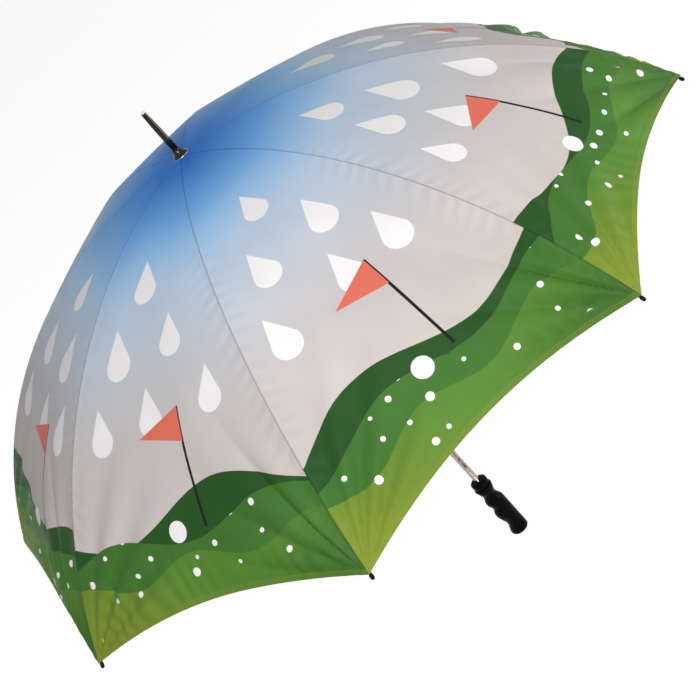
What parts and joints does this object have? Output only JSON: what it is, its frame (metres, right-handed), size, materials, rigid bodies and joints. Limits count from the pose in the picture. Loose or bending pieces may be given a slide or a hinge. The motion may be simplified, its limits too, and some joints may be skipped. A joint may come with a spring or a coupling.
{
  "type": "golf umbrella",
  "caption": "Open golf umbrella with a gored dome canopy, hinged ribs and stretchers, a sliding runner on a steel shaft, a polished ferrule and a moulded finger grip.",
  "frame": {"origin": "centre of the flat end of the grip", "axes": "+Z along the shaft towards the ferrule; +X in the plane of rib 1"},
  "size_m": [1.269, 1.269, 0.9505],
  "materials": {
    "canopy_cloth": "satin",
    "frame_steel": "satin",
    "spring_steel": "satin",
    "shaft_chrome": "polished",
    "ferrule_black_chrome": "polished",
    "fibreglass": "satin",
    "black_moulding": "satin",
    "crown_washer": "matte"
  },
  "bodies": {
    "shaft_frame": {"shaft": "shaft_chrome", "runner_stop_pin": "frame_steel", "top_notch": "black_moulding", "notch_wire": "frame_steel", "canopy_washer": "crown_washer", "ferrule": "ferrule_black_chrome", "ferrule_cup": "ferrule_black_chrome", "handle_grip": "black_moulding", "handle_collar": "black_moulding", "handle_cap": "black_moulding"},
    "rib_1": {"rib_1_inner": "frame_steel", "canopy_gore_1": "canopy_cloth"},
    "rib_1_end": {"rib_1_outer": "fibreglass", "rib_1_tip": "black_moulding"},
    "stretcher_1": {"stretcher_1": "frame_steel"},
    "rib_2": {"rib_2_inner": "frame_steel", "canopy_gore_2": "canopy_cloth"},
    "rib_2_end": {"rib_2_outer": "fibreglass", "rib_2_tip": "black_moulding"},
    "stretcher_2": {"stretcher_2": "frame_steel"},
    "rib_3": {"rib_3_inner": "frame_steel", "canopy_gore_3": "canopy_cloth"},
    "rib_3_end": {"rib_3_outer": "fibreglass", "rib_3_tip": "black_moulding"},
    "stretcher_3": {"stretcher_3": "frame_steel"},
    "rib_4": {"rib_4_inner": "frame_steel", "canopy_gore_4": "canopy_cloth"},
    "rib_4_end": {"rib_4_outer": "fibreglass", "rib_4_tip": "black_moulding"},
    "stretcher_4": {"stretcher_4": "frame_steel"},
    "rib_5": {"rib_5_inner": "frame_steel", "canopy_gore_5": "canopy_cloth"},
    "rib_5_end": {"rib_5_outer": "fibreglass", "rib_5_tip": "black_moulding"},
    "stretcher_5": {"stretcher_5": "frame_steel"},
    "rib_6": {"rib_6_inner": "frame_steel", "canopy_gore_6": "canopy_cloth"},
    "rib_6_end": {"rib_6_outer": "fibreglass", "rib_6_tip": "black_moulding"},
    "stretcher_6": {"stretcher_6": "frame_steel"},
    "rib_7": {"rib_7_inner": "frame_steel", "canopy_gore_7": "canopy_cloth"},
    "rib_7_end": {"rib_7_outer": "fibreglass", "rib_7_tip": "black_moulding"},
    "stretcher_7": {"stretcher_7": "frame_steel"},
    "rib_8": {"rib_8_inner": "frame_steel", "canopy_gore_8": "canopy_cloth"},
    "rib_8_end": {"rib_8_outer": "fibreglass", "rib_8_tip": "black_moulding"},
    "stretcher_8": {"stretcher_8": "frame_steel"},
    "runner": {"runner": "black_moulding", "runner_wire": "frame_steel"},
    "top_catch": {"top_spring": "spring_steel"},
    "bottom_catch": {"bottom_spring": "spring_steel"}
  },
  "joints": [
    {"name": "rib_1_fold", "type": "hinge", "parent": "shaft_frame", "child": "rib_1", "pos_m": [0.0105, 0, 0.86045], "axis": [0, 1, 0], "range_deg": [0, 70.8], "deforming": ["canopy_gore_1", "canopy_gore_2", "canopy_gore_3", "canopy_gore_4", "canopy_gore_5", "canopy_gore_6", "canopy_gore_7", "canopy_gore_8"]},
    {"name": "rib_1_flex", "type": "hinge", "parent": "rib_1", "child": "rib_1_end", "pos_m": [0.32865, 0, 0.78619], "axis": [0, 1, 0], "range_deg": [-27, 0]},
    {"name": "stretcher_1_swing", "type": "hinge", "parent": "rib_1", "child": "stretcher_1", "pos_m": [0.32865, 0, 0.78619], "axis": [0, 1, 0], "range_deg": [-141.6, 0]},
    {"name": "rib_2_fold", "type": "hinge", "parent": "shaft_frame", "child": "rib_2", "pos_m": [0.00743, 0.00743, 0.86045], "axis": [-0.7071, 0.7071, 0], "range_deg": [0, 70.8]},
    {"name": "rib_2_flex", "type": "hinge", "parent": "rib_2", "child": "rib_2_end", "pos_m": [0.23239, 0.23239, 0.78619], "axis": [-0.7071, 0.7071, 0], "range_deg": [-27, 0]},
    {"name": "stretcher_2_swing", "type": "hinge", "parent": "rib_2", "child": "stretcher_2", "pos_m": [0.23239, 0.23239, 0.78619], "axis": [-0.7071, 0.7071, 0], "range_deg": [-141.6, 0]},
    {"name": "rib_3_fold", "type": "hinge", "parent": "shaft_frame", "child": "rib_3", "pos_m": [0, 0.0105, 0.86045], "axis": [-1, 0, 0], "range_deg": [0, 70.8]},
    {"name": "rib_3_flex", "type": "hinge", "parent": "rib_3", "child": "rib_3_end", "pos_m": [0, 0.32865, 0.78619], "axis": [-1, 0, 0], "range_deg": [-27, 0]},
    {"name": "stretcher_3_swing", "type": "hinge", "parent": "rib_3", "child": "stretcher_3", "pos_m": [0, 0.32865, 0.78619], "axis": [-1, 0, 0], "range_deg": [-141.6, 0]},
    {"name": "rib_4_fold", "type": "hinge", "parent": "shaft_frame", "child": "rib_4", "pos_m": [-0.00743, 0.00743, 0.86045], "axis": [-0.7071, -0.7071, 0], "range_deg": [0, 70.8]},
    {"name": "rib_4_flex", "type": "hinge", "parent": "rib_4", "child": "rib_4_end", "pos_m": [-0.23239, 0.23239, 0.78619], "axis": [-0.7071, -0.7071, 0], "range_deg": [-27, 0]},
    {"name": "stretcher_4_swing", "type": "hinge", "parent": "rib_4", "child": "stretcher_4", "pos_m": [-0.23239, 0.23239, 0.78619], "axis": [-0.7071, -0.7071, 0], "range_deg": [-141.6, 0]},
    {"name": "rib_5_fold", "type": "hinge", "parent": "shaft_frame", "child": "rib_5", "pos_m": [-0.0105, 0, 0.86045], "axis": [0, -1, 0], "range_deg": [0, 70.8]},
    {"name": "rib_5_flex", "type": "hinge", "parent": "rib_5", "child": "rib_5_end", "pos_m": [-0.32865, 0, 0.78619], "axis": [0, -1, 0], "range_deg": [-27, 0]},
    {"name": "stretcher_5_swing", "type": "hinge", "parent": "rib_5", "child": "stretcher_5", "pos_m": [-0.32865, 0, 0.78619], "axis": [0, -1, 0], "range_deg": [-141.6, 0]},
    {"name": "rib_6_fold", "type": "hinge", "parent": "shaft_frame", "child": "rib_6", "pos_m": [-0.00743, -0.00743, 0.86045], "axis": [0.7071, -0.7071, 0], "range_deg": [0, 70.8]},
    {"name": "rib_6_flex", "type": "hinge", "parent": "rib_6", "child": "rib_6_end", "pos_m": [-0.23239, -0.23239, 0.78619], "axis": [0.7071, -0.7071, 0], "range_deg": [-27, 0]},
    {"name": "stretcher_6_swing", "type": "hinge", "parent": "rib_6", "child": "stretcher_6", "pos_m": [-0.23239, -0.23239, 0.78619], "axis": [0.7071, -0.7071, 0], "range_deg": [-141.6, 0]},
    {"name": "rib_7_fold", "type": "hinge", "parent": "shaft_frame", "child": "rib_7", "pos_m": [0, -0.0105, 0.86045], "axis": [1, 0, 0], "range_deg": [0, 70.8]},
    {"name": "rib_7_flex", "type": "hinge", "parent": "rib_7", "child": "rib_7_end", "pos_m": [0, -0.32865, 0.78619], "axis": [1, 0, 0], "range_deg": [-27, 0]},
    {"name": "stretcher_7_swing", "type": "hinge", "parent": "rib_7", "child": "stretcher_7", "pos_m": [0, -0.32865, 0.78619], "axis": [1, 0, 0], "range_deg": [-141.6, 0]},
    {"name": "rib_8_fold", "type": "hinge", "parent": "shaft_frame", "child": "rib_8", "pos_m": [0.00743, -0.00743, 0.86045], "axis": [0.7071, 0.7071, 0], "range_deg": [0, 70.8]},
    {"name": "rib_8_flex", "type": "hinge", "parent": "rib_8", "child": "rib_8_end", "pos_m": [0.23239, -0.23239, 0.78619], "axis": [0.7071, 0.7071, 0], "range_deg": [-27, 0]},
    {"name": "stretcher_8_swing", "type": "hinge", "parent": "rib_8", "child": "stretcher_8", "pos_m": [0.23239, -0.23239, 0.78619], "axis": [0.7071, 0.7071, 0], "range_deg": [-141.6, 0]},
    {"name": "runner_travel", "type": "hinge", "parent": "stretcher_1", "child": "runner", "pos_m": [0.0105, 0, 0.71192], "axis": [0, 1, 0], "range_deg": [0, 70.8]},
    {"name": "top_catch_press", "type": "hinge", "parent": "shaft_frame", "child": "top_catch", "pos_m": [0.00222, 0.00092, 0.61342], "axis": [-0.3827, 0.9239, 0], "range_deg": [-5, 0], "stiffness_Nm_per_rad": 0.6},
    {"name": "bottom_catch_press", "type": "hinge", "parent": "shaft_frame", "child": "bottom_catch", "pos_m": [0.00222, 0.00092, 0.1425], "axis": [-0.3827, 0.9239, 0], "range_deg": [-5, 0], "stiffness_Nm_per_rad": 0.6}
  ],
  "couplings": [
    {"joint": "rib_1_flex", "follows": "rib_1_fold", "ratio": -0.38136},
    {"joint": "stretcher_1_swing", "follows": "rib_1_fold", "ratio": -2},
    {"joint": "rib_2_fold", "follows": "rib_1_fold", "ratio": 1},
    {"joint": "rib_2_flex", "follows": "rib_1_fold", "ratio": -0.38136},
    {"joint": "stretcher_2_swing", "follows": "rib_1_fold", "ratio": -2},
    {"joint": "rib_3_fold", "follows": "rib_1_fold", "ratio": 1},
    {"joint": "rib_3_flex", "follows": "rib_1_fold", "ratio": -0.38136},
    {"joint": "stretcher_3_swing", "follows": "rib_1_fold", "ratio": -2},
    {"joint": "rib_4_fold", "follows": "rib_1_fold", "ratio": 1},
    {"joint": "rib_4_flex", "follows": "rib_1_fold", "ratio": -0.38136},
    {"joint": "stretcher_4_swing", "follows": "rib_1_fold", "ratio": -2},
    {"joint": "rib_5_fold", "follows": "rib_1_fold", "ratio": 1},
    {"joint": "rib_5_flex", "follows": "rib_1_fold", "ratio": -0.38136},
    {"joint": "stretcher_5_swing", "follows": "rib_1_fold", "ratio": -2},
    {"joint": "rib_6_fold", "follows": "rib_1_fold", "ratio": 1},
    {"joint": "rib_6_flex", "follows": "rib_1_fold", "ratio": -0.38136},
    {"joint": "stretcher_6_swing", "follows": "rib_1_fold", "ratio": -2},
    {"joint": "rib_7_fold", "follows": "rib_1_fold", "ratio": 1},
    {"joint": "rib_7_flex", "follows": "rib_1_fold", "ratio": -0.38136},
    {"joint": "stretcher_7_swing", "follows": "rib_1_fold", "ratio": -2},
    {"joint": "rib_8_fold", "follows": "rib_1_fold", "ratio": 1},
    {"joint": "rib_8_flex", "follows": "rib_1_fold", "ratio": -0.38136},
    {"joint": "stretcher_8_swing", "follows": "rib_1_fold", "ratio": -2},
    {"joint": "runner_travel", "follows": "rib_1_fold", "ratio": 1}
  ]
}
